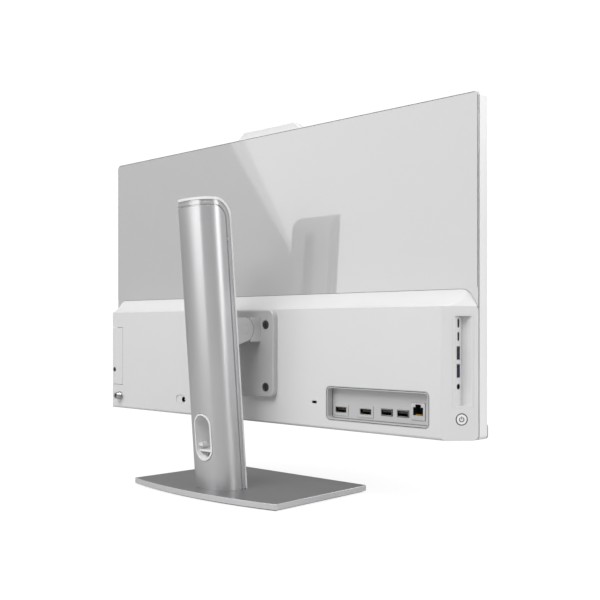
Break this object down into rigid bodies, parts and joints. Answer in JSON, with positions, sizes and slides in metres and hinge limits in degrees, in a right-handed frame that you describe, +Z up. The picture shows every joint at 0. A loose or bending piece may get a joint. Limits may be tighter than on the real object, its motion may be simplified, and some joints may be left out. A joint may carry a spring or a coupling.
{
  "type": "all-in-one desktop computer",
  "caption": "All-in-one computer: wide flat screen with the computer in a bulge on its back, on a tilting, height-adjustable column with a flat base.",
  "frame": {"origin": "on the surface that the base stands on, under the middle of the overall box", "axes": "+Z up, the screen faces -Y, +X to the right of someone facing the screen"},
  "size_m": [0.6188, 0.1801, 0.4515],
  "materials": {
    "white_plastic": "satin",
    "glossy_back": "polished",
    "silver_plastic": "satin metallic",
    "dark_plastic": "satin",
    "black_gloss": "polished",
    "base_metal": "satin",
    "rubber": "matt",
    "steel": "brushed",
    "plated": "plated",
    "die_cast": "satin",
    "copper_pipe": "plain",
    "gold_contact": "plated",
    "dark_steel": "black zinc",
    "board": "coated",
    "screen": "polished"
  },
  "bodies": {
    "stand": {"base_plate": "base_metal", "base_pad": "rubber", "base_screws": "steel", "column_foot": "die_cast", "column_shell": "silver_plastic", "column_trim": "silver_plastic", "column_cover": "white_plastic", "column_spine": "steel", "guide_rods": "steel", "rod_bracket": "steel", "spring_strip": "steel", "cable_grommet": "white_plastic"},
    "carriage": {"slide_carriage": "die_cast", "carriage_bushes": "dark_plastic", "spring_drum": "dark_plastic", "arm_screws": "steel", "support_arm": "die_cast", "tilt_axle": "steel", "axle_caps": "die_cast", "friction_washers": "steel"},
    "display": {"tilt_bracket": "silver_plastic", "vesa_screws": "dark_steel", "rear_housing": "white_plastic", "rear_panel": "glossy_back", "chassis_frame": "dark_plastic", "front_bezel": "white_plastic", "chin_bar": "silver_plastic", "screen_glass": "screen", "lcd_module": "dark_plastic", "socket_tray": "white_plastic", "hdmi_sockets": "plated", "usb_sockets": "dark_plastic", "lan_socket": "plated", "side_socket_bay": "white_plastic", "usb_c_sockets": "plated", "side_usb_sockets": "plated", "audio_jack": "dark_plastic", "side_board": "board", "power_inlet": "white_plastic", "antenna_socket": "plated", "antenna_nut": "plated", "drive_cover": "white_plastic", "drive_cover_screw": "dark_steel", "storage_tray": "steel", "storage_drive": "die_cast", "motherboard": "board", "cold_plate": "copper_pipe", "heat_pipes": "copper_pipe", "heat_sink": "die_cast", "fan_housing": "dark_plastic", "memory_modules": "board", "ssd_card": "board", "wireless_card": "board", "speakers": "dark_plastic", "webcam_housing": "white_plastic", "webcam_lens": "black_gloss", "button_ring": "dark_plastic"},
    "button": {"power_button": "white_plastic"},
    "shutter": {"webcam_shutter": "dark_plastic"},
    "fan": {"fan_rotor": "dark_plastic"}
  },
  "joints": [
    {"name": "height_slide", "type": "slide", "parent": "stand", "child": "carriage", "axis": [0, 0.0819, 0.9966], "range_m": [-0.037, 0.09]},
    {"name": "tilt_hinge", "type": "hinge", "parent": "carriage", "child": "display", "pos_m": [0, 0.026, 0.1963], "axis": [-1, 0, 0], "range_deg": [-5, 20]},
    {"name": "power_button_press", "type": "slide", "parent": "display", "child": "button", "axis": [0.7534, -0.6575, 0], "range_m": [0, 0.0012], "stiffness_N_per_m": 400},
    {"name": "webcam_shutter_slide", "type": "slide", "parent": "display", "child": "shutter", "axis": [1, 0, 0], "range_m": [-0.011, 0]},
    {"name": "fan_spin", "type": "hinge", "parent": "display", "child": "fan", "pos_m": [0.1, -0.0194, 0.165], "axis": [0, 1, 0], "continuous": true}
  ]
}
